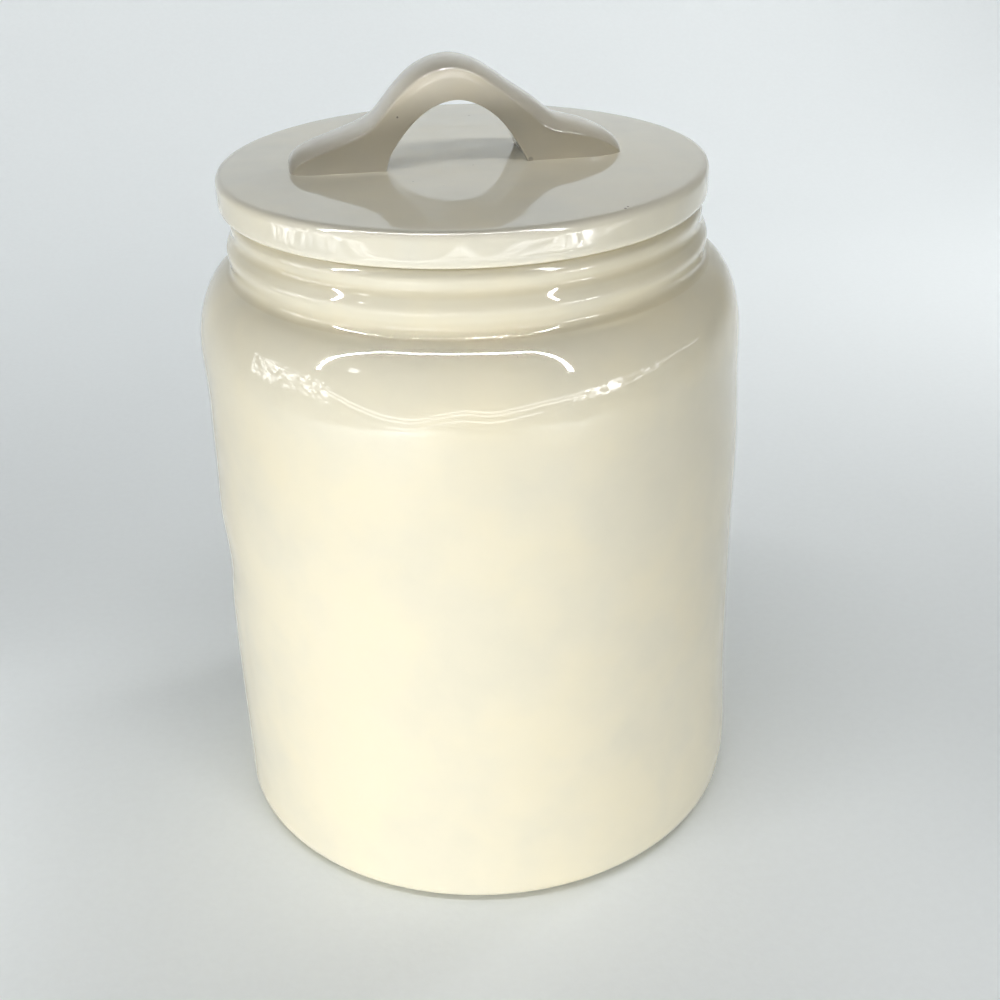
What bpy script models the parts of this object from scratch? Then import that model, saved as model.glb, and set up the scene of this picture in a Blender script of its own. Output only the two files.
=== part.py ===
"""Coffee canister: a glazed stoneware jar with a lid that lifts off by a strap handle.

The jar stands on its foot ring at z = 0, with its axis on z. The lid's plug hangs in the
mouth, a silicone ring in the plug's groove seals it, and the handle lies along x.
Lengths are in metres and angles in degrees.
"""
import math

import bmesh
import bpy
from mathutils import Vector
from mathutils.geometry import interpolate_bezier

# Gap that separate pieces keep where they touch
TOUCH = 0.0003
# Facets round every turned piece
SEGMENTS = 60

# Jar, outside
JAR_HEIGHT = 0.1545
BODY_RADIUS = 0.0634
BASE_RADIUS = 0.0642
BASE_ROUND = 0.0040
SHOULDER_WIDTH = 0.0090
SHOULDER_HEIGHT = 0.0180

# Neck: two soft beads between the rim and the corner where the shoulder starts
NECK_HEIGHT = 0.0137
RIM_RADIUS = 0.0525
RIM_ROUND = 0.0012
RIM_BEAD = 0.0009
RIM_BEAD_DROP = 0.0019
RIM_BEAD_REACH = 0.0030
COLLAR_BEAD = 0.0014
COLLAR_BEAD_DROP = 0.0085
COLLAR_BEAD_REACH = 0.0037

# Jar, inside and underneath
WALL = 0.0052
MOUTH_RADIUS = 0.0478
MOUTH_LIP_ROUND = 0.0020
FLOOR_THICKNESS = 0.0055
FLOOR_COVE = 0.0065
FOOT_RING_WIDTH = 0.0070
FOOT_RECESS = 0.0016

# Lid disc
LID_RADIUS = 0.0546
LID_THICKNESS = 0.0082
LID_TOP_ROUND = 0.0019
LID_LOWER_ROUND = 0.0017
LID_MIDDLE_THICKNESS = 0.0056

# Plug under the lid, with the groove that holds the seal
PLUG_CLEARANCE = 0.0028
PLUG_WALL = 0.0050
PLUG_DEPTH = 0.0140
PLUG_END_ROUND = 0.0015
PLUG_CEILING_COVE = 0.0040
GROOVE_DEPTH = 0.0016
GROOVE_HEIGHT = 0.0056
GROOVE_DROP = 0.0042

# Silicone seal: a band in the groove, with thin fins that reach for the mouth
BAND_THICKNESS = 0.0019
FIN_COUNT = 3
FIN_ROOT = 0.0010
FIN_TIP = 0.0005
FIN_RISE = 0.0004

# Strap handle: an arch over a finger gap, with a foot that runs out on each side
HANDLE_LENGTH = 0.0732
HANDLE_SHIFT = -0.0022
STRAP_DEPTH = 0.0148
STRAP_THICKNESS = 0.0069
STRAP_CROWN = 0.0019
GAP_WIDTH = 0.0324
GAP_HEIGHT = 0.0141
HEEL_HEIGHT = 0.0092
HEEL_OFFSET = 0.0022
TOE_HEIGHT = 0.0038
TOE_ROUND = 0.0022
TOE_CROWN = 0.0033
RIDGE_ROUND = 0.0010
GAP_EDGE_ROUND = 0.0024
# Shares of a run or a height at which the tangents of the handle's curves end
ARCH_LEAN = 0.42
HEEL_LEAN = 0.24
TOE_LEAN = 0.35
TOE_BELLY = 1.28
NOSE_TOP_LEAN = (0.55, 0.92)
NOSE_LOW_LEAN = 0.55
GAP_LEG_LEAN = (0.80, 0.34)
GAP_ARCH_LEAN = 0.51
# Power with which the crown grows towards the toe
CROWN_GROWTH = 6
# Sections of the loft: degrees round each edge, then shares of the half depth
EDGE_TURNS = (0, 30, 60, 90)
DEPTH_SHARES = (0.5, 0.75, 1.0)
# Edges of the handle steeper than this, in degrees, are shaded sharp
SHARP_TURN = 50

GLAZE_COLOUR = (0.86, 0.81, 0.66)
SILICONE_COLOUR = (0.78, 0.78, 0.75)


def clear_scene():
    for thing in list(bpy.data.objects):
        bpy.data.objects.remove(thing, do_unlink=True)


def make_material(name, colour, roughness, coat=0.0):
    """Principled material of one piece; coat is the clear layer of a glaze."""
    material = bpy.data.materials.new(name)
    material.use_nodes = True
    shader = material.node_tree.nodes["Principled BSDF"]
    shader.inputs["Base Color"].default_value = (*colour, 1.0)
    shader.inputs["Roughness"].default_value = roughness
    shader.inputs["Metallic"].default_value = 0.0
    shader.inputs["Coat Weight"].default_value = coat
    return material


def add_empty(name, height, collection, parent=None):
    empty = bpy.data.objects.new(name, None)
    empty.empty_display_size = 0.02
    empty.location.z = height
    empty.parent = parent
    collection.objects.link(empty)
    return empty


def add_piece(name, mesh, material, collection, parent=None):
    mesh.materials.append(material)
    piece = bpy.data.objects.new(name, mesh)
    piece.parent = parent
    collection.objects.link(piece)
    return piece


def arc(centre, width, height, start, end, steps):
    """Points of an elliptical arc in the (radius, height) plane; angle 0 points outward."""
    points = []
    for step in range(steps + 1):
        angle = math.radians(start + (end - start) * step / steps)
        radius = centre[0] + width * math.cos(angle)
        points.append((radius, centre[1] + height * math.sin(angle)))
    return points


def turned(name, outline, closed, material, collection, parent=None):
    """Spin an outline about z. It runs down the outer side of the piece."""
    mesh = bpy.data.meshes.new(name)
    count = len(outline)
    edges = [(index, index + 1) for index in range(count - 1)]
    if closed:
        edges.append((count - 1, 0))
    mesh.from_pydata([(radius, 0.0, height) for radius, height in outline], edges, [])
    piece = add_piece(name, mesh, material, collection, parent)
    screw = piece.modifiers.new("Spin", "SCREW")
    screw.axis = "Z"
    screw.angle = 2 * math.pi
    screw.steps = SEGMENTS
    screw.render_steps = SEGMENTS
    screw.use_merge_vertices = True
    screw.merge_threshold = 0.00001
    screw.use_smooth_shade = True
    piece.modifiers.new("Flat faces", "WEIGHTED_NORMAL")
    return piece


def bead(drop, centre, reach):
    """Height share, 0 to 1, of a soft bead at a drop below the rim."""
    offset = (drop - centre) / reach
    if abs(offset) >= 1.0:
        return 0.0
    return math.cos(0.5 * math.pi * offset) ** 2


def neck_outline():
    """Outer side of the neck: a straight flare with a bead at the rim and one below it."""
    corner_radius = BODY_RADIUS - SHOULDER_WIDTH
    steps = 15
    points = []
    for step in range(steps + 1):
        drop = RIM_ROUND + (NECK_HEIGHT - RIM_ROUND) * step / steps
        radius = RIM_RADIUS + (corner_radius - RIM_RADIUS) * drop / NECK_HEIGHT
        radius += RIM_BEAD * bead(drop, RIM_BEAD_DROP, RIM_BEAD_REACH)
        radius += COLLAR_BEAD * bead(drop, COLLAR_BEAD_DROP, COLLAR_BEAD_REACH)
        points.append((radius, JAR_HEIGHT - drop))
    return points


def jar_outline():
    """From the middle of the inside floor, up, over the rim and down to the underside."""
    shoulder_top = JAR_HEIGHT - NECK_HEIGHT
    shoulder = (BODY_RADIUS - SHOULDER_WIDTH, shoulder_top - SHOULDER_HEIGHT)
    floor = FOOT_RECESS + FLOOR_THICKNESS
    cove = (BASE_RADIUS - WALL - FLOOR_COVE, floor + FLOOR_COVE)
    lip = (MOUTH_RADIUS + MOUTH_LIP_ROUND, shoulder_top - WALL + MOUTH_LIP_ROUND)
    rim_inner = (MOUTH_RADIUS + RIM_ROUND, JAR_HEIGHT - RIM_ROUND)
    neck = neck_outline()
    rim_outer = (neck[0][0] - RIM_ROUND, JAR_HEIGHT - RIM_ROUND)
    base = (BASE_RADIUS - BASE_ROUND, BASE_ROUND)
    ring_inner = base[0] - FOOT_RING_WIDTH

    inside = [(0.0, floor)]
    inside += arc(cove, FLOOR_COVE, FLOOR_COVE, -90, 0, steps=5)
    inside += arc(shoulder, SHOULDER_WIDTH - WALL, SHOULDER_HEIGHT - WALL, 0, 90, steps=6)
    inside += arc(lip, MOUTH_LIP_ROUND, MOUTH_LIP_ROUND, 270, 180, steps=3)
    inside += arc(rim_inner, RIM_ROUND, RIM_ROUND, 180, 90, steps=3)
    outside = arc(rim_outer, RIM_ROUND, RIM_ROUND, 90, 0, steps=3)[:-1]
    outside += neck
    outside += arc(shoulder, SHOULDER_WIDTH, SHOULDER_HEIGHT, 80, 0, steps=9)
    outside += arc(base, BASE_ROUND, BASE_ROUND, 0, -90, steps=5)
    underside = [(ring_inner, 0.0)]
    underside += [(ring_inner - FOOT_RECESS, FOOT_RECESS)]
    underside += [(0.0, FOOT_RECESS)]
    return inside + outside + underside


def lid_outline():
    """From the middle of the top, over the edge and round the plug to its ceiling.

    Height 0 is the underside of the disc, which rests on the rim of the jar.
    """
    plug_radius = MOUTH_RADIUS - PLUG_CLEARANCE
    plug_inner = plug_radius - PLUG_WALL
    ceiling = LID_THICKNESS - LID_MIDDLE_THICKNESS
    top_edge = (LID_RADIUS - LID_TOP_ROUND, LID_THICKNESS - LID_TOP_ROUND)
    lower_edge = (LID_RADIUS - LID_LOWER_ROUND, LID_LOWER_ROUND)
    end_outer = (plug_radius - PLUG_END_ROUND, PLUG_END_ROUND - PLUG_DEPTH)
    end_inner = (plug_inner + PLUG_END_ROUND, PLUG_END_ROUND - PLUG_DEPTH)
    cove = (plug_inner - PLUG_CEILING_COVE, ceiling - PLUG_CEILING_COVE)

    points = [(0.0, LID_THICKNESS)]
    points += arc(top_edge, LID_TOP_ROUND, LID_TOP_ROUND, 90, 0, steps=4)
    points += arc(lower_edge, LID_LOWER_ROUND, LID_LOWER_ROUND, 0, -90, steps=4)
    points += [
        (plug_radius, 0.0),
        (plug_radius, -GROOVE_DROP),
        (plug_radius - GROOVE_DEPTH, -GROOVE_DROP),
        (plug_radius - GROOVE_DEPTH, -GROOVE_DROP - GROOVE_HEIGHT),
        (plug_radius, -GROOVE_DROP - GROOVE_HEIGHT),
    ]
    points += arc(end_outer, PLUG_END_ROUND, PLUG_END_ROUND, 0, -90, steps=3)
    points += arc(end_inner, PLUG_END_ROUND, PLUG_END_ROUND, -90, -180, steps=3)
    points += arc(cove, PLUG_CEILING_COVE, PLUG_CEILING_COVE, 0, 90, steps=4)
    points += [(0.0, ceiling)]
    return points


def seal_outline():
    """Section of the seal: a band in the plug's groove with fins on its outer side."""
    groove_floor = MOUTH_RADIUS - PLUG_CLEARANCE - GROOVE_DEPTH
    inner = groove_floor + TOUCH
    outer = inner + BAND_THICKNESS
    tip = MOUTH_RADIUS - TOUCH
    top = -GROOVE_DROP - TOUCH
    bottom = -GROOVE_DROP - GROOVE_HEIGHT + TOUCH
    pitch = (top - bottom) / FIN_COUNT

    points = [(inner, top), (outer, top)]
    for index in range(FIN_COUNT):
        middle = top - pitch * (index + 0.5)
        points += [
            (outer, middle + FIN_ROOT / 2),
            (tip, middle + FIN_RISE + FIN_TIP / 2),
            (tip, middle + FIN_RISE - FIN_TIP / 2),
            (outer, middle - FIN_ROOT / 2),
        ]
    points += [(outer, bottom), (inner, bottom)]
    return points


def bezier(knots, steps):
    """Sampled cubic curve from the first knot to the last, both included."""
    corners = [Vector((across, up, 0.0)) for across, up in knots]
    return [point.to_2d() for point in interpolate_bezier(*corners, steps + 1)]


def handle_top_line():
    """Ridge of the strap on its front face, from the middle of the arch out to the toe."""
    apex = GAP_HEIGHT + STRAP_THICKNESS
    heel = GAP_WIDTH / 2 + HEEL_OFFSET
    toe = HANDLE_LENGTH / 2 - TOE_CROWN
    toe_top = toe - TOE_ROUND
    ease_above = heel * HEEL_LEAN
    ease_below = (HEEL_HEIGHT - TOE_HEIGHT) / 2
    flank = bezier([
        (0.0, apex),
        (heel * ARCH_LEAN, apex),
        (heel - ease_above, HEEL_HEIGHT + ease_above),
        (heel, HEEL_HEIGHT),
    ], steps=9)
    foot = bezier([
        (heel, HEEL_HEIGHT),
        (heel + ease_below, HEEL_HEIGHT - ease_below),
        (toe_top - (toe_top - heel) * TOE_LEAN, TOE_HEIGHT * TOE_BELLY),
        (toe_top, TOE_HEIGHT),
    ], steps=6)
    across, up = NOSE_TOP_LEAN
    nose = bezier([
        (toe_top, TOE_HEIGHT),
        (toe_top + TOE_ROUND * across, TOE_HEIGHT * up),
        (toe, TOE_HEIGHT * NOSE_LOW_LEAN),
        (toe, 0.0),
    ], steps=4)
    return flank + foot[1:] + nose[1:]


def handle_gap_line():
    """Edge of the finger gap, from the lid up to the middle of the arch."""
    foot = GAP_WIDTH / 2
    across, up = GAP_LEG_LEAN
    return bezier([
        (foot, 0.0),
        (foot * across, GAP_HEIGHT * up),
        (foot * GAP_ARCH_LEAN, GAP_HEIGHT),
        (0.0, GAP_HEIGHT),
    ], steps=8)


def pushed(line, distances):
    """The line moved to its left, point by point, with its ends kept on their own axes."""
    moved = []
    last = len(line) - 1
    for index, (point, distance) in enumerate(zip(line, distances)):
        along = line[min(index + 1, last)] - line[max(index - 1, 0)]
        side = Vector((-along.y, along.x)).normalized() * distance
        across = 0.0 if abs(point.x) < TOUCH else point.x + side.x
        up = 0.0 if abs(point.y) < TOUCH else point.y + side.y
        moved.append(Vector((across, up)))
    return moved


def setback(depth, radius):
    """How far a rounded edge has drawn back, at a depth in from the face."""
    if depth >= radius:
        return 0.0
    return radius - math.sqrt(radius ** 2 - (radius - depth) ** 2)


def handle_quarter():
    """Quarter of the handle, x > 0 and y < 0, lofted from its front face to its middle."""
    half = STRAP_DEPTH / 2
    rounds = (RIDGE_ROUND, GAP_EDGE_ROUND)
    depths = {radius * (1.0 - math.cos(math.radians(turn)))
              for radius in rounds for turn in EDGE_TURNS}
    depths |= {half * share for share in DEPTH_SHARES}
    top_line = handle_top_line()
    gap_line = handle_gap_line()
    toe = top_line[-1].x
    crowns = [STRAP_CROWN + (TOE_CROWN - STRAP_CROWN) * (point.x / toe) ** CROWN_GROWTH
              for point in top_line]

    shape = bmesh.new()
    sections = []
    for depth in sorted(depths):
        fullness = 1.0 - ((half - depth) / half) ** 2
        ridge_back = setback(depth, RIDGE_ROUND)
        gap_back = setback(depth, GAP_EDGE_ROUND)
        top = pushed(top_line, [crown * fullness - ridge_back for crown in crowns])
        gap = pushed(gap_line, [-gap_back] * len(gap_line))
        sections.append([shape.verts.new((point.x, depth - half, point.y))
                         for point in top + gap])
    shape.faces.new(reversed(sections[0]))
    for front, back in zip(sections, sections[1:]):
        for index in range(len(front) - 1):
            shape.faces.new((front[index], front[index + 1], back[index + 1], back[index]))
    mesh = bpy.data.meshes.new("lid_handle")
    shape.to_mesh(mesh)
    shape.free()
    mesh.shade_smooth()
    mesh.set_sharp_from_angle(angle=math.radians(SHARP_TURN))
    return mesh


def build_handle(material, collection, parent):
    handle = add_piece("lid_handle", handle_quarter(), material, collection, parent)
    handle.location = (HANDLE_SHIFT, 0.0, LID_THICKNESS + TOUCH)
    mirror = handle.modifiers.new("Four quarters", "MIRROR")
    mirror.use_axis = (True, True, False)
    mirror.use_clip = True
    mirror.merge_threshold = 0.00001
    return handle


def build_canister():
    clear_scene()
    canister = bpy.data.collections.new("coffee_canister")
    bpy.context.scene.collection.children.link(canister)

    jar_glaze = make_material("jar_glaze", GLAZE_COLOUR, 0.08, coat=1.0)
    lid_glaze = make_material("lid_glaze", GLAZE_COLOUR, 0.06, coat=1.0)
    handle_glaze = make_material("handle_glaze", GLAZE_COLOUR, 0.08, coat=1.0)
    silicone = make_material("silicone", SILICONE_COLOUR, 0.45)

    seat = JAR_HEIGHT + TOUCH
    lift_axis = add_empty("lift_axis", seat, canister)
    turn_axis = add_empty("turn_axis", 0.0, canister, parent=lift_axis)

    turned("jar_body", jar_outline(), False, jar_glaze, canister)
    turned("seal_ring", seal_outline(), True, silicone, canister, lift_axis)
    turned("lid", lid_outline(), False, lid_glaze, canister, turn_axis)
    build_handle(handle_glaze, canister, turn_axis)


build_canister()
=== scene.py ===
"""Coffee canister in cream glaze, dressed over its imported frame.

Lengths are in millimetres until a mesh, a lamp or the camera is made from them.
The jar's axis is z, its foot stands on z = 0, and the strap handle lies along x.
"""
import math

import bpy
import numpy as np
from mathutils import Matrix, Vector


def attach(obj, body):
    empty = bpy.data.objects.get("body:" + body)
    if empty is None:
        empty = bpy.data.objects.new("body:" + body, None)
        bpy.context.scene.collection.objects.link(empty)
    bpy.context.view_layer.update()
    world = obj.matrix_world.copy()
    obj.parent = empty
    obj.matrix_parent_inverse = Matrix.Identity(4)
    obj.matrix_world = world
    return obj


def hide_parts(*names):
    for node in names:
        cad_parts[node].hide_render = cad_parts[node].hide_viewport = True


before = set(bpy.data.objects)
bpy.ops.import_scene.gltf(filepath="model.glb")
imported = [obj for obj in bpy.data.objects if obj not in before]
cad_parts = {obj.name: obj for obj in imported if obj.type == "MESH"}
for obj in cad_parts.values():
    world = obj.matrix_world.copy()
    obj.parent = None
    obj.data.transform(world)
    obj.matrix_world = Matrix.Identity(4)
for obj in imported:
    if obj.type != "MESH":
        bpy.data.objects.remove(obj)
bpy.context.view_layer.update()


# The camera: held by hand in front of the canister and a little to its left, a third of a
# metre away and looking down on the lid.
MM = 0.001
CAMERA_PLACE = (-49.52, -312.67, 245.36)
CAMERA_TURN = (61.697, 1.475, -10.842)
CAMERA_LENS = 50.806
CAMERA_FILM = 36.0
CAMERA_NEAR = 10.0

view_camera = bpy.data.objects.new("view_camera", bpy.data.cameras.new("view_camera"))
bpy.context.scene.collection.objects.link(view_camera)
view_camera.location = Vector(CAMERA_PLACE) * MM
view_camera.rotation_euler = [math.radians(turn) for turn in CAMERA_TURN]
view_camera.data.lens = CAMERA_LENS
view_camera.data.sensor_width = CAMERA_FILM
view_camera.data.clip_start = CAMERA_NEAR * MM
bpy.context.scene.camera = view_camera
bpy.context.scene.view_settings.view_transform = "Standard"


# The sheet the canister stands on: matt white board that lies flat and then sweeps up into
# a wall behind.
SHEET_COLOUR = (0.852, 0.892, 0.902)
SHEET_STAIN = 0.985
SHEET_FLECK = (0.5, 0.5, 0.5)
SHEET_MATT = 0.75
SHEET_WIDTH = 4000.0
SHEET_FRONT = -2400.0
SWEEP_START = 420.0
SWEEP_RADIUS = 420.0
SHEET_TOP = 1700.0
SWEEP_STEPS = 40
WALL_STEPS = 20


def new_mesh(name, points, faces):
    """A smooth mesh from points in millimetres and rows of corner numbers."""
    mesh = bpy.data.meshes.new(name)
    mesh.from_pydata((np.asarray(points) * MM).tolist(), [], faces)
    mesh.update()
    mesh.shade_smooth()
    piece = bpy.data.objects.new(name, mesh)
    bpy.context.scene.collection.objects.link(piece)
    return piece


def sheet_faces(rows, columns):
    """The four corners of each cell of a grid whose points are stored row by row."""
    row, column = np.meshgrid(np.arange(rows - 1), np.arange(columns - 1), indexing="ij")
    first = (row * columns + column).ravel()
    return np.stack([first, first + 1, first + columns + 1, first + columns], 1).tolist()


def new_shader(name, colour, roughness):
    """A material with a Principled shader of one colour; returns it with its nodes."""
    material = bpy.data.materials.new(name)
    material.use_nodes = True
    shader = material.node_tree.nodes["Principled BSDF"]
    shader.inputs["Base Color"].default_value = (*colour, 1.0)
    shader.inputs["Roughness"].default_value = roughness
    return material, material.node_tree, shader


def put(tree, kind, values, **settings):
    """A new shader node; values set or feed its inputs, settings make its own choices."""
    node = tree.nodes.new("ShaderNode" + kind)
    for name, value in settings.items():
        setattr(node, name, value)
    for name, value in values.items():
        if isinstance(value, bpy.types.NodeSocket):
            tree.links.new(value, node.inputs[name])
        else:
            node.inputs[name].default_value = value
    return node


def grain(tree, place, scale, detail=2.0, harsh=0.5):
    """Noise from 0 to 1 with scale lumps to the metre."""
    return put(tree, "TexNoise", {"Vector": place, "Scale": scale, "Detail": detail,
                                  "Roughness": harsh}).outputs["Fac"]


def soft_step(tree, value, low, high, start=0.0, end=1.0):
    """Low to high becomes start to end, in a soft step."""
    return put(tree, "MapRange", {"Value": value, "From Min": low, "From Max": high,
                                  "To Min": start, "To Max": end},
               interpolation_type="SMOOTHSTEP").outputs["Result"]


def tint(tree, share, first, second, way="MIX"):
    """The first colour and the second, mixed by share."""
    node = put(tree, "Mix", {0: share}, data_type="RGBA", blend_type=way)
    for socket, colour in ((node.inputs[6], first), (node.inputs[7], second)):
        if isinstance(colour, bpy.types.NodeSocket):
            tree.links.new(colour, socket)
        else:
            socket.default_value = (*colour, 1.0)
    return node.outputs[2]


def relief(tree, shader, *layers):
    """Bumps laid one over the other; each is a height from 0 to 1 and its size in millimetres."""
    normal = None
    for height, size in layers:
        values = {"Height": height, "Distance": size * MM}
        if normal is not None:
            values["Normal"] = normal
        normal = put(tree, "Bump", values).outputs["Normal"]
    tree.links.new(normal, shader.inputs["Normal"])


def sweep_points():
    """Across times along: flat to the start of the sweep, a quarter circle, then upright."""
    flat = np.linspace(SHEET_FRONT, SWEEP_START, SWEEP_STEPS)
    bend = np.radians(np.linspace(0, 90, SWEEP_STEPS))[1:]
    rise = np.linspace(SWEEP_RADIUS, SHEET_TOP, WALL_STEPS)[1:]
    back = np.concatenate([flat, SWEEP_START + SWEEP_RADIUS * np.sin(bend),
                           np.full(rise.size, SWEEP_START + SWEEP_RADIUS)])
    up = np.concatenate([np.zeros(flat.size), SWEEP_RADIUS * (1 - np.cos(bend)), rise])
    across = np.linspace(-SHEET_WIDTH / 2, SHEET_WIDTH / 2, 3)
    grid = np.empty((back.size, across.size, 3))
    grid[..., 0] = across
    grid[..., 1] = back[:, None]
    grid[..., 2] = up[:, None]
    return grid


sweep = sweep_points()
floor_sheet = new_mesh("floor_sheet", sweep.reshape(-1, 3), sheet_faces(*sweep.shape[:2]))
sheet_white, tree, shader = new_shader("sheet_white", SHEET_COLOUR, SHEET_MATT)
place = put(tree, "TexCoord", {}).outputs["Object"]
fibre = grain(tree, place, 420.0, 4.0, 0.6)
stain = soft_step(tree, grain(tree, place, 3.0, 3.0), 0.3, 0.7)
paper = tint(tree, stain, [SHEET_STAIN * part for part in SHEET_COLOUR], SHEET_COLOUR)
paper = tint(tree, soft_step(tree, fibre, 0.35, 0.65, 0.0, 0.03), paper, SHEET_FLECK)
tree.links.new(paper, shader.inputs["Base Color"])
relief(tree, shader, (fibre, 0.06))
floor_sheet.data.materials.append(sheet_white)


# The light: two upright lamp strips and one across the top, as round the front of a small
# photo box, and soft panels for the wall and the sheet that leave no reflection of their own.
# The box's crumpled foil and the stitched edge of its front cloth are seen only in the glaze.
WORLD_LIGHT = (0.90, 0.96, 1.0)
WORLD_STRENGTH = 0.02
STRIP_THICKNESS = 8.0
TOP_STRIP_THICKNESS = 3.5
LOW_PANEL_DISTANCE = 420.0
LOW_PANEL_SIZE = (146.0, 34.0)
# Each low panel: its angle round the jar, height and power
LOW_PANELS = (
    ("low_front", -125, 15, 0.63), ("low_right", -65, 50, 0.37),
    ("low_left", -145, 50, 0.255), ("low_middle", -120, 50, 0.20),
    ("low_far_left", -165, 65, 0.095), ("low_far_right", -45, 65, 0.055),
)
# Each of the sheet's panels: its place, aim, size and power
SHEET_PANELS = (
    ("wall_left", (-420, 300, 500), (-320, 800, 250), (400, 200), 1.36),
    ("wall_right", (420, 300, 500), (320, 800, 250), (400, 200), 0.92),
    ("wall_middle", (0, 450, 900), (0, 840, 400), (1200, 200), 0.75),
    ("floor_right", (450, 150, 400), (250, 560, 0), (250, 150), 1.22),
    ("floor_near_left", (-165, -10, 55), (-165, -10, 0), (50, 120), 0.017),
    ("floor_near_right", (95, -100, 60), (95, -100, 0), (50, 110), 0.006),
)
# Things round the front of the box, as angle round the jar and height: the foil's folds, the
# cloth's stitched edge, and the bright hem below the stitches
BOX_RADIUS = 165.0
LEFT_FOIL = ((-181, 139), (-175, 138), (-165, 138), (-154, 138), (-146, 132))
STITCHES = ((-147, 134), (-136, 119), (-126, 108), (-118, 105), (-109, 113), (-102, 119),
            (-94, 115), (-86, 118), (-77, 122), (-68, 124), (-63, 125))
RIGHT_FOIL = ((-67, 124), (-61, 125), (-55, 126), (-49, 127), (-42, 129), (-34, 132), (-26, 133),
              (-12, 131))
STITCH = 3.3
STITCH_ROWS = 5.5
STITCH_SLANT = 1.2
FOLD = 4.5
FOIL_SEED = 7
RIBBON_CELL = 0.55


def add_lamp(name, place, aim, size, power, shines=True, fills=True):
    """A rectangular lamp, width by height, that looks at a point; power is in watts."""
    lamp = bpy.data.lights.new(name, "AREA")
    lamp.shape = "RECTANGLE"
    lamp.size = size[0] * MM
    lamp.size_y = size[1] * MM
    lamp.energy = power
    thing = bpy.data.objects.new(name, lamp)
    thing.location = Vector(place) * MM
    look = (Vector(aim) - Vector(place)).normalized()
    thing.rotation_euler = look.to_track_quat("-Z", "Y").to_euler()
    thing.visible_camera = False
    thing.visible_glossy = shines
    thing.visible_diffuse = fills
    bpy.context.scene.collection.objects.link(thing)


def around(azimuth, distance, height):
    """A place at a compass angle from the jar's axis, in degrees, with x at 0."""
    turn = math.radians(azimuth)
    return (distance * math.cos(turn), distance * math.sin(turn), height)


def through(knots, marks):
    """Cubic curve through the knots, its slope at each taken from the knots beside it."""
    place, value = knots[:, 0], knots[:, 1:]
    slope = np.gradient(value, place, axis=0)
    cell = np.clip(np.searchsorted(place, marks, side="right") - 1, 0, len(place) - 2)
    width = place[cell + 1] - place[cell]
    share = ((marks - place[cell]) / width)[:, None]
    width = width[:, None]
    return (value[cell] * (1 + 2 * share) * (1 - share) ** 2
            + value[cell + 1] * share ** 2 * (3 - 2 * share)
            + slope[cell] * width * share * (1 - share) ** 2
            + slope[cell + 1] * width * share ** 2 * (share - 1))


def store(piece, name, values):
    """Keep one number for each point of the mesh, for its material."""
    field = piece.data.attributes.new(name, "FLOAT", "POINT")
    field.data.foreach_set("value", np.asarray(values, np.float32).ravel())


def stitched(along, across):
    """Two rows of stitches: a cosine across for the rows, times a wave along that slants from
    one row to the other, both cut off below zero."""
    row = np.clip(0.6 - np.cos(2 * np.pi * across / STITCH_ROWS), 0, 1)
    wave = np.sin(2 * np.pi * along / STITCH + STITCH_SLANT * across)
    return row * np.clip(wave * 2.0, 0, 1)


def crumpled(along, across):
    """Facets about random centres, each of its own brightness, fainter towards the edges."""
    maker = np.random.default_rng(FOIL_SEED)
    wide, tall = along.max() - along.min(), across.max() - across.min()
    count = int(wide * tall / FOLD ** 2)
    centre_x = maker.uniform(along.min(), along.max(), count)
    centre_y = maker.uniform(across.min(), across.max(), count)
    bright = maker.random(count) ** 2.5
    gap = (along[..., None] - centre_x) ** 2 + (across[..., None] - centre_y) ** 2
    edge = np.clip(1.15 - np.abs(2 * across / tall) ** 3, 0, 1)
    return bright[np.argmin(gap, 2)] * edge


def plain(along, across):
    """The same all over."""
    return np.ones(along.shape)


def ribbon(name, line, rise, width, strength, pattern=plain):
    """A strip of light along a line of angles and heights, seen only as a reflection.

    It lies rise above the line, and the pattern makes it bright or dark from place to place.
    """
    length = math.radians(line[-1][0] - line[0][0]) * BOX_RADIUS
    angle = np.linspace(line[0][0], line[-1][0], int(length / RIBBON_CELL))
    middle = through(np.array(line, float), angle)[:, 0] + rise
    across = np.linspace(-0.5, 0.5, max(3, int(width / RIBBON_CELL)))[:, None] * width
    height = middle[None, :] + across
    turn = np.radians(angle)[None, :] + 0 * height
    points = np.stack([BOX_RADIUS * np.cos(turn), BOX_RADIUS * np.sin(turn), height], 2)
    piece = new_mesh(name, points.reshape(-1, 3), sheet_faces(*points.shape[:2]))
    store(piece, "glow", strength * pattern(turn * BOX_RADIUS, across + 0 * height))
    material, tree, shader = new_shader(name + "_light", (0.0, 0.0, 0.0), 1.0)
    shader.inputs["Specular IOR Level"].default_value = 0.0
    shader.inputs["Emission Color"].default_value = (1.0, 1.0, 1.0, 1.0)
    glow = put(tree, "Attribute", {}, attribute_name="glow").outputs["Fac"]
    tree.links.new(glow, shader.inputs["Emission Strength"])
    piece.data.materials.append(material)
    piece.visible_camera = False
    piece.visible_diffuse = False
    piece.visible_shadow = False


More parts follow.
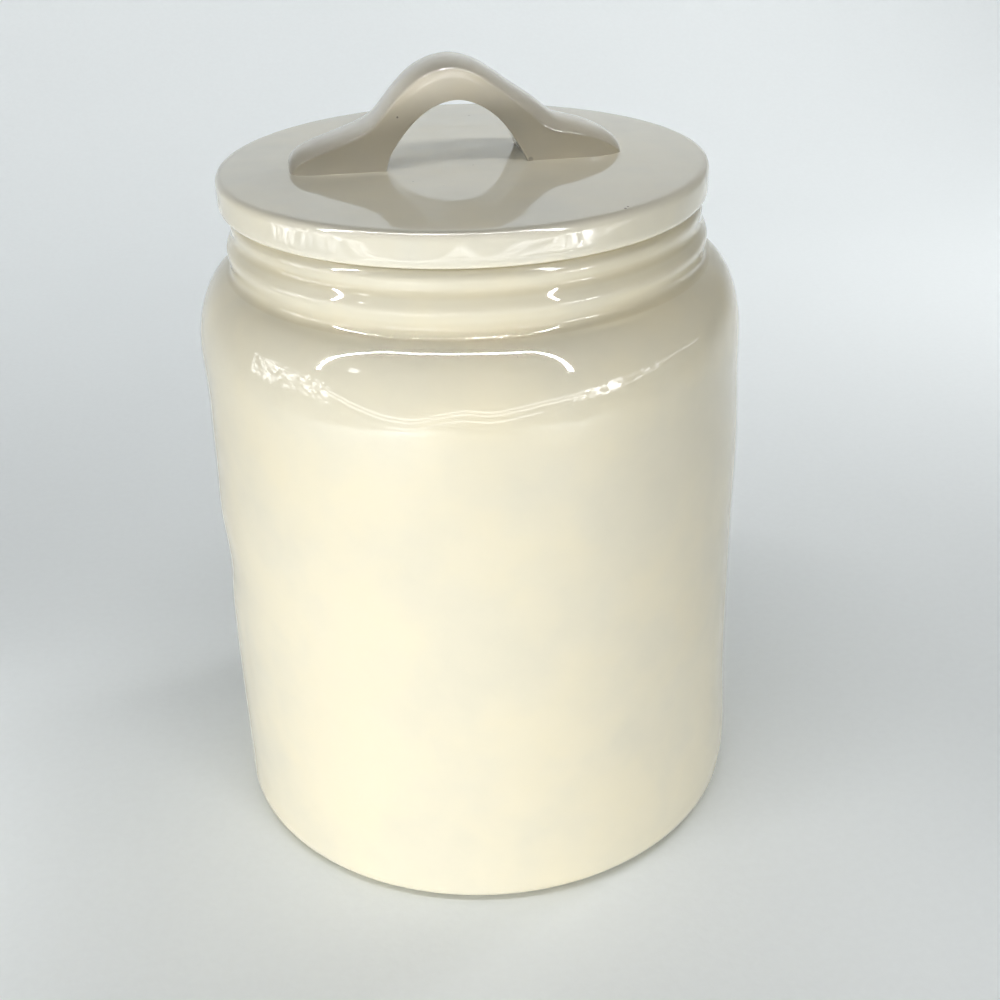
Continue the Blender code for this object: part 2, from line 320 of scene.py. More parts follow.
add_lamp("left_strip", around(-161, 450, 590), around(-161, 0, 590),
         (STRIP_THICKNESS, 660), 5.0, fills=False)
add_lamp("right_strip", around(-60, 450, 600), around(-60, 0, 600),
         (STRIP_THICKNESS, 640), 5.0, fills=False)
add_lamp("top_strip", around(-111, 283, 930), around(-111, 200, 0),
         (695, STRIP_THICKNESS), 2.6, shines=False)
add_lamp("top_line", around(-111, 282, 926), around(-111, 200, 0),
         (695, TOP_STRIP_THICKNESS), 13.0, fills=False)
add_lamp("window", around(-148, 640, 420), (0, 0, 420), (52, 78), 0.10, fills=False)
for name, azimuth, height, power in LOW_PANELS:
    add_lamp(name, around(azimuth, LOW_PANEL_DISTANCE, height), (0, 0, height),
             LOW_PANEL_SIZE, power, shines=False)
for name, place, aim, size, power in SHEET_PANELS:
    add_lamp(name, place, aim, size, power, shines=False)
ribbon("left_foil", LEFT_FOIL, -2.0, 38.0, 9.0, crumpled)
ribbon("right_foil", RIGHT_FOIL[:4], 0.0, 20.0, 20.0, crumpled)
ribbon("far_right_foil", RIGHT_FOIL[3:6], 0.0, 14.0, 7.0, crumpled)
ribbon("right_fold", RIGHT_FOIL[5:], 0.0, 2.0, 3.0)
ribbon("stitches", STITCHES, 0.0, 11.0, 11.0, stitched)
ribbon("hem", STITCHES[2:9], -13.0, 2.6, 5.0)

world = bpy.data.worlds.new("studio")
world.use_nodes = True
world_shade = world.node_tree.nodes["Background"]
world_shade.inputs["Color"].default_value = (*WORLD_LIGHT, 1.0)
world_shade.inputs["Strength"].default_value = WORLD_STRENGTH
bpy.context.scene.world = world


# The jar: one thrown and glazed pot with two soft beads round its neck. The wall isn't
# quite true, as the wheel and the hand left it. It stands on a foot ring wiped bare of glaze.
JAR_HEIGHT = 154.5
BODY_RADIUS = 63.4
BASE_RADIUS = 64.2
BASE_ROUND = 4.0
SHOULDER = (9.0, 18.0)
NECK_HEIGHT = 13.7
RIM_RADIUS = 52.5
RIM_ROUND = 1.2
# Each bead: how far it stands out, its drop below the rim, and its half height
NECK_BEADS = ((0.9, 1.9, 3.0), (1.4, 8.0, 3.8))
WALL = 5.2
MOUTH_RADIUS = 47.8
MOUTH_LIP = 2.0
FLOOR_HEIGHT = 7.1
FLOOR_COVE = 6.5
FOOT_RING = 7.0
FOOT_RECESS = 1.6
POT_SIDES = 256
POT_CELL = 0.5
STRAIGHT_STEP = 5
BEND_KEPT = 0.02
# How far the wall sways as it was thrown: oval, three-sided, and rings up the wall
OVAL_SWAY = 0.16
THREE_SIDED_SWAY = 0.10
RING_SWAY = 0.12
# The sway grows from nothing over the foot and dies away below the neck
SWAY_GROWS = 9.0
SWAY_TOP = 134.0
SWAY_DIES = 22.0
# Each hollow or swell: angle round the jar, height, depth, width and height of its spread
WALL_HOLLOWS = (
    (-177, 115, -0.45, 30, 11), (-177, 68, -0.60, 26, 9), (-177, 84, 0.30, 26, 8),
    (-20, 98, 0.50, 28, 14), (-30, 12, 0.80, 34, 14), (-75, 72, -0.35, 16, 11),
    (-95, 34, -0.30, 20, 13), (-60, 30, -0.35, 17, 10), (-120, 50, 0.25, 22, 18),
    (40, 80, -0.40, 26, 20), (95, 52, 0.35, 30, 16), (130, 96, -0.35, 24, 18),
)


def arc(centre, width, height, start, end, count):
    """Ellipse points: centre plus width times cosine and height times sine of the angle."""
    turn = np.radians(np.linspace(start, end, count))
    return np.stack([centre[0] + width * np.cos(turn), centre[1] + height * np.sin(turn)], 1)


def neck_line(count):
    """Radius against drop: a straight flare, plus a squared cosine for each bead."""
    drop = np.linspace(RIM_ROUND, NECK_HEIGHT, count)
    corner = BODY_RADIUS - SHOULDER[0]
    radius = RIM_RADIUS + (corner - RIM_RADIUS) * drop / NECK_HEIGHT
    for height, middle, reach in NECK_BEADS:
        offset = np.clip((drop - middle) / reach, -1, 1)
        radius = radius + height * np.cos(0.5 * np.pi * offset) ** 2
    return np.stack([radius, JAR_HEIGHT - drop], 1)


def even(line, spacing):
    """The same line with points at equal steps along its length."""
    steps = np.hypot(*np.diff(line, axis=0).T)
    along = np.concatenate([[0.0], np.cumsum(steps)])
    marks = np.linspace(0, along[-1], int(along[-1] / spacing) + 1)
    return np.stack([np.interp(marks, along, line[:, axis]) for axis in (0, 1)], 1)


def softened(line, passes):
    """Each point moved to the mean of itself and its neighbours, over and over."""
    line = line.copy()
    for _ in range(passes):
        line[1:-1] = (line[:-2] + line[1:-1] + line[2:]) / 3
    return line


def jar_inside():
    """Section from the middle of the pot's floor up to the top of its rim."""
    corner = JAR_HEIGHT - NECK_HEIGHT
    cove = (BASE_RADIUS - WALL - FLOOR_COVE, FLOOR_HEIGHT + FLOOR_COVE)
    shoulder = (BODY_RADIUS - SHOULDER[0], corner - SHOULDER[1])
    lip = (MOUTH_RADIUS + MOUTH_LIP, corner - WALL + MOUTH_LIP)
    rim = (MOUTH_RADIUS + RIM_ROUND, JAR_HEIGHT - RIM_ROUND)
    return np.concatenate([
        [(0.0, FLOOR_HEIGHT)],
        arc(cove, FLOOR_COVE, FLOOR_COVE, -90, 0, 12),
        arc(shoulder, SHOULDER[0] - WALL, SHOULDER[1] - WALL, 0, 90, 14),
        arc(lip, MOUTH_LIP, MOUTH_LIP, 270, 180, 8),
        arc(rim, RIM_ROUND, RIM_ROUND, 180, 90, 7),
    ])


def jar_outside():
    """Section from the top of the rim over beads and shoulder down to the foot."""
    shoulder = (BODY_RADIUS - SHOULDER[0], JAR_HEIGHT - NECK_HEIGHT - SHOULDER[1])
    neck = neck_line(60)
    rim = (neck[0, 0] - RIM_ROUND, JAR_HEIGHT - RIM_ROUND)
    base = (BASE_RADIUS - BASE_ROUND, BASE_ROUND)
    return np.concatenate([
        arc(rim, RIM_ROUND, RIM_ROUND, 90, 0, 7)[:-1],
        neck,
        arc(shoulder, *SHOULDER, 80, 0, 60),
        arc(base, BASE_ROUND, BASE_ROUND, 0, -90, 14),
    ])


def jar_underside():
    """Section across the foot ring and the recess to the middle."""
    ring = BASE_RADIUS - BASE_ROUND - FOOT_RING
    return np.array([(ring, 0.0), (ring - FOOT_RECESS, FOOT_RECESS), (0.0, FOOT_RECESS)])


def thrown(angle, radius, height):
    """The wall leans out by slow waves and soft hollows, in proportion to the radius."""
    sway = OVAL_SWAY * np.cos(2 * angle + 0.9) * np.sin(height / 31.0 + 0.4)
    sway = sway + THREE_SIDED_SWAY * np.cos(3 * angle - 0.6 + height / 60.0)
    sway = sway + RING_SWAY * np.sin(height / 14.0 + 1.7 * np.cos(angle + 0.5))
    for where, level, depth, wide, tall in WALL_HOLLOWS:
        turn = np.angle(np.exp(1j * (angle - math.radians(where)))) * BODY_RADIUS
        sway = sway + depth * np.exp(-(turn / wide) ** 2 - ((height - level) / tall) ** 2)
    sway = sway * np.clip(height / SWAY_GROWS, 0, 1)
    sway = sway * np.clip((SWAY_TOP - height) / SWAY_DIES, 0, 1)
    return radius * (1 + sway / BODY_RADIUS), height


def bend_rate(line):
    """How sharply the section turns at each point, per millimetre; positive where it bulges."""
    along = np.gradient(line, axis=0)
    heading = np.unwrap(np.arctan2(along[:, 1], along[:, 0]))
    return -np.gradient(heading) / np.maximum(np.hypot(*along.T), 0.05)


def thinned(line, step):
    """Every point where the line bends, and one in step where it runs straight."""
    keep = np.abs(bend_rate(line)) > BEND_KEPT
    keep[::step] = True
    keep[[0, -1]] = True
    return line[keep]


def turned(name, line, sides, hand=None, closed=False):
    """A line carried round z, with radius and height changed by the hand that made it.

    Each point is the radius times the cosine and the sine of its angle, and its height. A first
    or last point on the axis closes as a pole. The line runs up the inner side and down the
    outer side, or clockwise when it is closed.
    """
    angle = np.linspace(0, 2 * np.pi, sides, endpoint=False)
    poles = [] if closed else [end for end in (0, -1) if line[end, 0] < 1e-6]
    off_axis = slice(int(0 in poles), len(line) - int(-1 in poles))
    rings = line[off_axis]
    radius = np.repeat(rings[:, :1], sides, 1)
    height = np.repeat(rings[:, 1:], sides, 1)
    if hand is not None:
        radius, height = hand(angle[None, :], radius, height)
    grid = np.stack([radius * np.cos(angle), radius * np.sin(angle), height], 2)
    points = [grid.reshape(-1, 3)]
    count = len(rings)
    ring, side = np.meshgrid(np.arange(count if closed else count - 1), np.arange(sides),
                             indexing="ij")
    after = (side + 1) % sides
    below = (ring + 1) % count
    corners = [ring * sides + side, below * sides + side, below * sides + after,
               ring * sides + after]
    faces = np.stack([corner.ravel() for corner in corners], 1).tolist()
    bends = [np.repeat(bend_rate(line)[off_axis], sides)]
    for end in poles:
        pole = count * sides + poles.index(end)
        points.append(np.array([[0.0, 0.0, grid[end, :, 2].mean()]]))
        bends.append([0.0])
        start = np.arange(sides) + (0 if end == 0 else (count - 1) * sides)
        next_round = np.roll(start, -1)
        pair = (start, next_round) if end == 0 else (next_round, start)
        faces += np.stack([np.full(sides, pole), *pair], 1).tolist()
    piece = new_mesh(name, np.concatenate(points), faces)
    store(piece, "glaze_bend", np.concatenate(bends))
    return piece


CREAM = (0.80, 0.745, 0.585)
COOL_CLOUD = (0.945, 0.955, 0.965)
WARM_CLOUD = (1.025, 1.01, 0.965)
# Multiplied into hollows and creases: partly glaze pooled there, partly painted shade
POOLED_GLAZE_AND_SHADE = (0.93, 0.91, 0.86)
THIN_GLAZE = (0.86, 0.815, 0.69)
SPECK = (0.17, 0.13, 0.095)
CLAY = (0.80, 0.75, 0.66)
CLAY_DARK = (0.70, 0.64, 0.54)
# Lumps to the metre: clouds, mottling, specks, the glaze's waver, its skin, and pinholes
CLOUDS = 34.0
MOTTLING = 130.0
SPECKLE = 62.0
WAVER = 62.0
SKIN = 330.0
PINHOLES = 95.0
# The glaze's polish from place to place, and how much duller it is where it is thin
POLISH = (0.03, 0.07)
EDGE_DULL = 0.06


def glaze(name, cream, specks=()):
    """Cream glaze: cloudy in depth, pale where thin over an edge, warm and darker in hollows as
    pooled glaze and painted shade.

    Each speck is a place and a radius in millimetres, and how dark it is.
    """
    material, tree, shader = new_shader(name, cream, 0.05)
    shader.inputs["IOR"].default_value = 1.47
    shader.inputs["Coat Weight"].default_value = 0.3
    shader.inputs["Coat Roughness"].default_value = 0.02
    shader.inputs["Coat IOR"].default_value = 1.5
    place = put(tree, "TexCoord", {}).outputs["Object"]
    cloud = grain(tree, place, CLOUDS, 3.0, 0.55)
    mottle = grain(tree, place, MOTTLING, 4.0, 0.6)
    cool = [part * share for part, share in zip(cream, COOL_CLOUD)]
    warm = [part * share for part, share in zip(cream, WARM_CLOUD)]
    colour = tint(tree, soft_step(tree, cloud, 0.36, 0.66), cool, warm)
    colour = tint(tree, soft_step(tree, mottle, 0.3, 0.7, 0.0, 0.35), colour, cream)
    bend = put(tree, "Attribute", {}, attribute_name="glaze_bend").outputs["Fac"]
    # Hollows and creases darkened: partly pooled glaze, partly painted shade
    pooled_and_shaded = soft_step(tree, bend, 0.0, -0.3, 0.0, 0.9)
    colour = tint(tree, pooled_and_shaded, colour, POOLED_GLAZE_AND_SHADE, "MULTIPLY")
    thin = soft_step(tree, bend, 0.12, 0.8, 0.0, 0.4)
    colour = tint(tree, thin, colour, THIN_GLAZE)
    dots = put(tree, "TexVoronoi", {"Vector": place, "Scale": SPECKLE}, feature="F1")
    chance = put(tree, "SeparateColor", {"Color": dots.outputs["Color"]}).outputs["Red"]
    few = put(tree, "Math", {0: chance, 1: 0.72}, operation="GREATER_THAN").outputs["Value"]
    dot = soft_step(tree, dots.outputs["Distance"], 0.016, 0.009)
    dot = put(tree, "Math", {0: dot, 1: few}, operation="MULTIPLY").outputs["Value"]
    faint = put(tree, "Math", {0: dot, 1: 0.4}, operation="MULTIPLY").outputs["Value"]
    colour = tint(tree, faint, colour, SPECK)
    for spot, radius, depth in specks:
        apart = put(tree, "VectorMath", {0: place, 1: Vector(spot) * MM}, operation="DISTANCE")
        mark = soft_step(tree, apart.outputs["Value"], radius * 1.25 * MM, radius * 0.6 * MM,
                         0.0, depth)
        colour = tint(tree, mark, colour, SPECK)
    tree.links.new(colour, shader.inputs["Base Color"])
    polish = soft_step(tree, mottle, 0.3, 0.7, *POLISH)
    dulled = soft_step(tree, bend, 0.2, 0.45, 0.0, EDGE_DULL)
    matt = put(tree, "Math", {0: polish, 1: dulled}, operation="ADD").outputs["Value"]
    tree.links.new(matt, shader.inputs["Roughness"])
    pits = put(tree, "TexVoronoi", {"Vector": place, "Scale": PINHOLES}, feature="F1")
    pits = soft_step(tree, pits.outputs["Distance"], 0.012, 0.03)
    relief(tree, shader, (grain(tree, place, WAVER, 1.0), 0.22),
           (grain(tree, place, SKIN, 2.0), 0.012), (pits, 0.03))
    return material


def bare_clay(name):
    """Fired clay wiped free of glaze: chalky, sanded in rings, with grog and iron grains."""
    material, tree, shader = new_shader(name, CLAY, 0.85)
    place = put(tree, "TexCoord", {}).outputs["Object"]
    parts = put(tree, "SeparateXYZ", {"Vector": place}).outputs
    flat = put(tree, "CombineXYZ", {"X": parts["X"], "Y": parts["Y"]}).outputs["Vector"]
    radius = put(tree, "VectorMath", {0: flat}, operation="LENGTH").outputs["Value"]
    ringed = put(tree, "CombineXYZ", {"X": radius, "Y": parts["Z"]}).outputs["Vector"]
    rings = grain(tree, ringed, 1500.0, 3.0, 0.7)
    sand = grain(tree, place, 1900.0, 3.0, 0.7)
    iron = soft_step(tree, grain(tree, place, 900.0, 1.0), 0.70, 0.76, 0.0, 0.55)
    patch = soft_step(tree, grain(tree, place, 60.0, 3.0), 0.35, 0.65)
    colour = tint(tree, patch, CLAY, CLAY_DARK)
    colour = tint(tree, soft_step(tree, rings, 0.4, 0.7, 0.0, 0.35), colour, CLAY_DARK)
    colour = tint(tree, iron, colour, SPECK)
    tree.links.new(colour, shader.inputs["Base Color"])
    relief(tree, shader, (rings, 0.04), (sand, 0.03))
    return material


def wipe(piece, material, bare):
    """Give the second material to the faces whose middle, as radius and height, is bare."""
    piece.data.materials.append(material)
    middle = np.empty(len(piece.data.polygons) * 3)
    piece.data.polygons.foreach_get("center", middle)
    middle = middle.reshape(-1, 3) / MM
    chosen = bare(np.hypot(middle[:, 0], middle[:, 1]), middle[:, 2])
    piece.data.polygons.foreach_set("material_index", chosen.astype(np.int32))


WIPE_HEIGHT = 0.35
WIPE_EDGE = 0.4
jar_line = thinned(np.concatenate([
    [(0.0, FLOOR_HEIGHT)],
    softened(even(jar_inside(), POT_CELL), 3)[1:-1],
    softened(even(jar_outside(), POT_CELL), 5),
    even(jar_underside(), POT_CELL)[1:],
]), STRAIGHT_STEP)
thrown_jar = turned("thrown_jar", jar_line, POT_SIDES, thrown)
thrown_jar.data.materials.append(glaze("jar_glaze", CREAM))
wipe(thrown_jar, bare_clay("jar_clay"), lambda radius, height:
     (height < WIPE_HEIGHT) & (radius > BASE_RADIUS - BASE_ROUND - FOOT_RING - WIPE_EDGE))
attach(thrown_jar, "jar")
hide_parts("jar_body")


# The lid: a glazed disc whose edge overhangs the rim, with a plug beneath that keeps it in
# the mouth. The seat that meets the rim is wiped bare, so that it doesn't stick in the kiln.
LID_SEAT = 154.8
LID_RADIUS = 54.6
LID_THICKNESS = 8.2
LID_TOP_ROUND = 1.4
LID_FLAT = 15.0
LID_FALL = 0.4
LID_LOWER_ROUND = 1.7
LID_MIDDLE = 5.6
PLUG_RADIUS = 45.0
PLUG_WALL = 5.0
PLUG_DEPTH = 14.0
PLUG_END_ROUND = 1.5
CEILING_COVE = 4.0
GROOVE_DEPTH = 1.6
GROOVE_HEIGHT = 5.6
GROOVE_DROP = 4.2
# The rim as the hand left it: it bulges towards one angle, and wavers, from its start outward
RIM_BULGE = 1.8
RIM_SIDE = 124.0
RIM_START = 46.0
RIM_REACH = 6.0
RIM_WAVER = 0.12
RIM_RIPPLE = 0.06
TOP_WAVER = 0.030
LID_SIDES = 256
LID_CELL = 0.45
PLUG_CELL = 0.6
LID_CREAM = (0.815, 0.775, 0.645)
# Specks burnt into the lid's top: place, radius, and how dark
LID_SPECKS = (
    ((24.7, -46.7, 162.6), 0.3, 0.95), ((25.5, -45.7, 162.62), 0.26, 0.95),
    ((0.7, -7.6, 163.0), 0.22, 0.35), ((-13.9, -16.9, 163.0), 0.22, 0.4),
    ((7.9, 39.7, 162.82), 0.3, 0.45),
)


def lid_line():
    """Section from the middle of the top over the edge and round the plug to its ceiling."""
    inner = PLUG_RADIUS - PLUG_WALL
    ceiling = LID_SEAT + LID_THICKNESS - LID_MIDDLE
    end = LID_SEAT - PLUG_DEPTH + PLUG_END_ROUND
    groove = LID_SEAT - GROOVE_DROP
    across = np.linspace(0, LID_RADIUS - LID_TOP_ROUND, 40)
    fall = LID_FALL * (np.maximum(across - LID_FLAT, 0) / (across[-1] - LID_FLAT)) ** 2
    top = np.concatenate([
        np.stack([across, LID_SEAT + LID_THICKNESS - fall], 1)[:-1],
        arc((across[-1], LID_SEAT + LID_THICKNESS - LID_FALL - LID_TOP_ROUND),
            LID_TOP_ROUND, LID_TOP_ROUND, 88, 0, 9),
        arc((LID_RADIUS - LID_LOWER_ROUND, LID_SEAT + LID_LOWER_ROUND),
            LID_LOWER_ROUND, LID_LOWER_ROUND, 0, -90, 9),
        [(PLUG_RADIUS, LID_SEAT), (PLUG_RADIUS, groove)],
    ])
    slot = np.array([(PLUG_RADIUS - GROOVE_DEPTH, groove),
                     (PLUG_RADIUS - GROOVE_DEPTH, groove - GROOVE_HEIGHT)])
    plug = np.concatenate([
        [(PLUG_RADIUS, groove - GROOVE_HEIGHT)],
        arc((PLUG_RADIUS - PLUG_END_ROUND, end), PLUG_END_ROUND, PLUG_END_ROUND, 0, -90, 7),
        arc((inner + PLUG_END_ROUND, end), PLUG_END_ROUND, PLUG_END_ROUND, -90, -180, 7),
        arc((inner - CEILING_COVE, ceiling - CEILING_COVE), CEILING_COVE, CEILING_COVE, 0, 90, 9),
        [(0.0, ceiling)],
    ])
    return [softened(even(top, LID_CELL), 2), slot, softened(even(plug, PLUG_CELL), 1)]


def hand_lid(angle, radius, height):
    """The disc's edge and top waver a little, and its rim bulges to one side."""
    rim = np.clip((radius - RIM_START) / RIM_REACH, 0, 1)
    radius = radius + RIM_BULGE * rim * (0.5 + 0.5 * np.cos(angle - math.radians(RIM_SIDE))) ** 2
    sway = RIM_WAVER * np.cos(2 * angle + 1.0) + RIM_RIPPLE * np.cos(5 * angle)
    radius = radius * (1 + rim * sway / LID_RADIUS)
    above = np.clip((height - LID_SEAT - 4.0) / 3.0, 0, 1) * np.clip(radius / 8.0, 0, 1)
    wave = TOP_WAVER * np.sin(radius / 3.4 + 1.5 * np.cos(2 * angle))
    wave = wave + 0.05 * rim * np.cos(3 * angle + 0.4)
    return radius, height + above * wave


lid_disc = turned("lid_disc", np.concatenate(lid_line()), LID_SIDES, hand_lid)
lid_disc.data.materials.append(glaze("lid_glaze", LID_CREAM, LID_SPECKS))
wipe(lid_disc, bare_clay("lid_clay"), lambda radius, height:
     ((abs(height - LID_SEAT) < WIPE_EDGE) & (radius > PLUG_RADIUS + WIPE_EDGE)
      & (radius < RIM_RADIUS - 2 * WIPE_EDGE))
     | (height < LID_SEAT - PLUG_DEPTH + WIPE_EDGE))
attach(lid_disc, "lid")
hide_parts("lid")


# The handle: a strap of the same clay, bent into an arch by hand and luted to the lid with
# slip, so that one foot is longer than the other and glaze has run into the joint.
LID_TOP = LID_SEAT + LID_THICKNESS
STRAP_SUNK = -0.9
# Stations from the left toe to the right: ridge across and up, lower edge across and up,
# and how far the crown stands above the ridge
STRAP = np.array([
    (-38.9, -0.5, -38.9, STRAP_SUNK, 0.2), (-38.4, 0.9, -38.4, STRAP_SUNK, 1.2),
    (-37.3, 2.1, -37.3, STRAP_SUNK, 1.7), (-35.8, 3.1, -35.6, STRAP_SUNK, 1.7),
    (-33.2, 4.3, -32.6, STRAP_SUNK, 1.4), (-29.6, 5.6, -28.4, STRAP_SUNK, 1.2),
    (-26.1, 6.9, -23.8, STRAP_SUNK, 1.0), (-22.7, 8.4, -19.0, STRAP_SUNK, 0.8),
    (-20.4, 10.0, -17.6, 2.6, 0.8), (-18.3, 12.2, -16.2, 5.0, 0.9),
    (-15.1, 15.5, -13.3, 8.6, 1.2), (-11.8, 18.3, -9.9, 11.6, 1.4),
    (-8.0, 20.3, -6.4, 13.45, 1.4), (-3.2, 21.1, -2.4, 14.2, 1.4),
    (1.6, 19.8, 1.3, 13.4, 1.4), (5.1, 17.6, 4.2, 11.8, 1.5),
    (9.5, 14.1, 7.6, 8.8, 1.7), (13.7, 10.7, 10.4, 4.9, 2.1),
    (17.0, 7.8, 12.4, 1.5, 2.4), (19.4, 6.5, 13.9, STRAP_SUNK, 2.2),
    (22.9, 5.8, 19.6, STRAP_SUNK, 1.8), (26.9, 4.8, 25.4, STRAP_SUNK, 1.6),
    (29.6, 3.7, 29.2, STRAP_SUNK, 1.6), (32.0, 2.3, 32.0, STRAP_SUNK, 1.7),
    (33.5, 1.1, 33.5, STRAP_SUNK, 1.6), (34.6, 0.1, 34.6, STRAP_SUNK, 1.1),
    (35.2, -0.6, 35.2, STRAP_SUNK, 0.2),
])
# The strap's outline seen from above: across, then the depth of its front and of its back.
# Its toes are cut square in front and rounded behind.
STRAP_PLAN = np.array([
    (-39.0, 3.2, -0.6), (-38.6, 4.2, 3.8), (-37.4, 5.1, 6.4), (-35.5, 5.7, 7.9),
    (-31.0, 6.3, 8.6), (-26.6, 6.8, 8.9), (-18.8, 7.5, 9.0), (-2.0, 7.5, 9.0),
    (13.8, 7.7, 9.0), (22.0, 8.2, 9.0), (28.0, 8.1, 8.9), (31.0, 7.7, 8.3),
    (33.2, 6.8, 6.9), (34.6, 5.4, 4.4), (35.3, 3.8, 0.0),
])
STRAP_HOLLOW = 0.25
STRAP_STATIONS = 260
# Places round a section: up each side, over the crown, and across underneath
SIDE_PLACES = 28
CROWN_PLACES = 58
UNDER_PLACES = 40
STRAP_SOFTENING = 2
# The back of the arch leans this far to the right, in full above the skew's rise
STRAP_SKEW = 1.2
SKEW_RISE = 10.0
SKEW_DEPTH = 15.0
# The glaze that has run into the joint: how thick it is, and the height over which it thins
JOINT_GLAZE = (0.03, 0.3)
RIDGE_SWELL = 0.02
RIDGE_BEND = 0.5
HANDLE_CREAM = (0.78, 0.725, 0.60)
HANDLE_SPECKS = (((-15.4, -7.4, 174.5), 0.22, 0.8), ((13.7, -7.6, 163.3), 0.6, 0.35))


def strap_points():
    """Stations along the strap times places round its section.

    A section runs up the front, over the crown, down the back and home underneath. Across
    it, share is 0 at the lower edge and 1 at the ridge; side is -1 in front and 1 behind. The
    back of the arch is skewed a little to the right of its front.
    """
    steps = np.hypot(*np.diff(STRAP[:, :2], axis=0).T)
    along = np.concatenate([[0.0], np.cumsum(steps)])
    marks = np.linspace(0, along[-1], STRAP_STATIONS)
    ridge_x, ridge_z, low_x, low_z, crown = through(np.column_stack([along, STRAP]), marks).T
    up = np.linspace(0, 1, SIDE_PLACES)
    over = np.linspace(-1, 1, CROWN_PLACES)[1:-1]
    under = np.linspace(1, -1, UNDER_PLACES)[1:-1]
    share = np.concatenate([up, np.ones(over.size), up[::-1], np.zeros(under.size)])
    side = np.concatenate([-np.ones(up.size), over, np.ones(up.size), under])
    lift = np.concatenate([np.zeros(up.size), 1 - np.abs(over) ** 2.5,
                           np.zeros(up.size + under.size)])
    x = low_x[:, None] + (ridge_x - low_x)[:, None] * share
    z = low_z[:, None] + (ridge_z - low_z)[:, None] * share
    plan = through(STRAP_PLAN, np.clip(x, STRAP[0, 0], STRAP[-1, 0]).ravel())
    front, back = (depth.reshape(x.shape) for depth in plan.T)
    y = (back - front) / 2 + side * np.maximum(back + front, 0.04) / 2
    y = y + STRAP_HOLLOW * np.sin(np.pi * share) * (side == -1)
    run_x, run_z = np.gradient(ridge_x), np.gradient(ridge_z)
    length = np.hypot(run_x, run_z)
    x = x - (crown * run_z / length)[:, None] * lift
    x = x + STRAP_SKEW * np.clip(z / SKEW_RISE, 0, 1) * (0.5 + y / SKEW_DEPTH)
    z = z + (crown * run_x / length)[:, None] * lift
    return np.stack([x, y, z], 2)


def soft_tube(grid, passes):
    """Each point moved to the mean of its neighbours both ways; the ends stay."""
    grid = grid.copy()
    for _ in range(passes):
        grid = (np.roll(grid, 1, 1) + grid + np.roll(grid, -1, 1)) / 3
        grid[1:-1] = (grid[:-2] + grid[1:-1] + grid[2:]) / 3
    return grid


def outward(grid):
    """Unit normal at each point of a tube."""
    across = np.roll(grid, -1, 1) - np.roll(grid, 1, 1)
    normal = np.cross(np.gradient(grid, axis=0), across)
    return normal / np.maximum(np.linalg.norm(normal, axis=2, keepdims=True), 1e-9)


strap = soft_tube(strap_points(), STRAP_SOFTENING)
face = outward(strap)
run_out = JOINT_GLAZE[0] * np.exp(-np.maximum(strap[..., 2], 0) / JOINT_GLAZE[1])
strap[..., :2] += face[..., :2] * run_out[..., None]
strap[..., 2] += LID_TOP
stations, places = strap.shape[:2]
row, column = np.meshgrid(np.arange(stations - 1), np.arange(places), indexing="ij")
after = (column + 1) % places
strap_faces = np.stack([(row * places + column).ravel(), ((row + 1) * places + column).ravel(),
                        ((row + 1) * places + after).ravel(), (row * places + after).ravel()], 1)
ends = [list(range(places)), list(range(stations * places - 1, (stations - 1) * places - 1, -1))]
strap_handle = new_mesh("strap_handle", strap.reshape(-1, 3), strap_faces.tolist() + ends)
beside = (np.roll(strap, 1, 1) + np.roll(strap, -1, 1)) / 2
beside[1:-1] = (beside[1:-1] + (strap[:-2] + strap[2:]) / 2) / 2
swell = ((strap - beside) * face).sum(2)
store(strap_handle, "glaze_bend", np.clip(swell / RIDGE_SWELL, -1, 1) * RIDGE_BEND)
strap_handle.data.materials.append(glaze("handle_glaze", HANDLE_CREAM, HANDLE_SPECKS))
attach(strap_handle, "lid")
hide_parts("lid_handle")


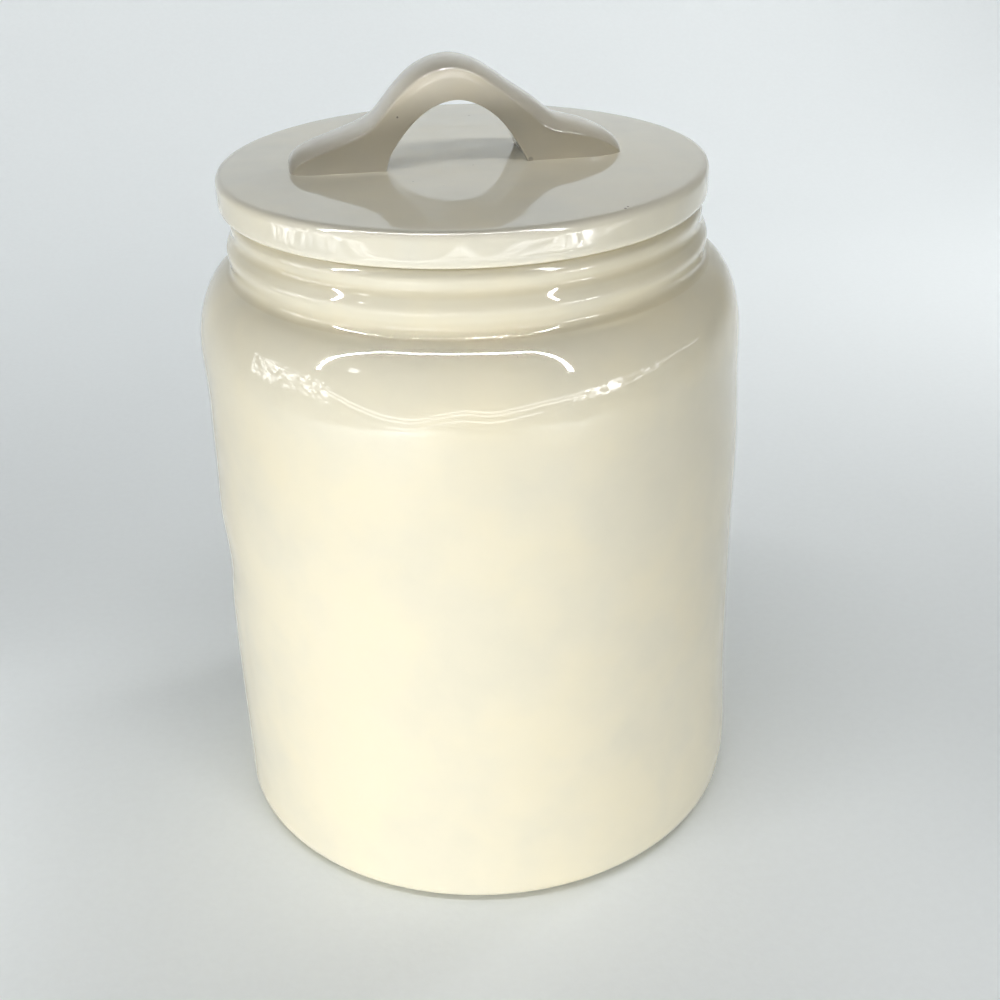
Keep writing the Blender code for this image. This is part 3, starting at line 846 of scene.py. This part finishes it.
# The seal: one moulded ring of milky silicone stretched over the plug into its groove. Three
# thin fins lean up and close the gap to the mouth.
SEAL_GAP = 0.3
BAND_THICKNESS = 1.9
FIN_COUNT = 3
FIN_ROOT = 1.0
FIN_TIP = 0.5
FIN_RISE = 0.4
SEAL_SIDES = 192
SEAL_CELL = 0.16
MILKY = (0.76, 0.775, 0.745)
MILKY_HAZE = (0.70, 0.715, 0.68)
MILKY_BLOOM = (0.86, 0.86, 0.84)


def seal_line():
    """Section of the ring: a band, then for each fin a pair of points at root and at tip."""
    inner = PLUG_RADIUS - GROOVE_DEPTH + SEAL_GAP
    outer = inner + BAND_THICKNESS
    tip = MOUTH_RADIUS - SEAL_GAP
    top = LID_SEAT - GROOVE_DROP - SEAL_GAP
    bottom = LID_SEAT - GROOVE_DROP - GROOVE_HEIGHT + SEAL_GAP
    middles = top - (top - bottom) * (np.arange(FIN_COUNT) + 0.5) / FIN_COUNT
    across = np.array([outer, tip, tip, outer])
    up = np.array([FIN_ROOT / 2, FIN_RISE + FIN_TIP / 2, FIN_RISE - FIN_TIP / 2, -FIN_ROOT / 2])
    fins = np.stack([np.tile(across, FIN_COUNT), (middles[:, None] + up).ravel()], 1)
    return np.concatenate([[(inner, bottom), (inner, top), (outer, top)], fins,
                           [(outer, bottom), (inner, bottom)]])


seal_band = turned("seal_band", softened(even(seal_line(), SEAL_CELL), 2)[:-1], SEAL_SIDES,
                   closed=True)
silicone, tree, shader = new_shader("milky_silicone", MILKY, 0.42)
shader.inputs["Subsurface Weight"].default_value = 0.35
shader.inputs["Subsurface Radius"].default_value = (1.0, 0.95, 0.9)
shader.inputs["Subsurface Scale"].default_value = 0.0015
place = put(tree, "TexCoord", {}).outputs["Object"]
haze = grain(tree, place, 120.0, 3.0, 0.6)
bloom = grain(tree, place, 2600.0, 3.0, 0.7)
colour = tint(tree, soft_step(tree, haze, 0.3, 0.7), MILKY, MILKY_HAZE)
colour = tint(tree, soft_step(tree, bloom, 0.62, 0.75, 0.0, 0.3), colour, MILKY_BLOOM)
tree.links.new(colour, shader.inputs["Base Color"])
tree.links.new(soft_step(tree, haze, 0.3, 0.7, 0.36, 0.52), shader.inputs["Roughness"])
relief(tree, shader, (bloom, 0.015))
seal_band.data.materials.append(silicone)
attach(seal_band, "seal")
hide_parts("seal_ring")
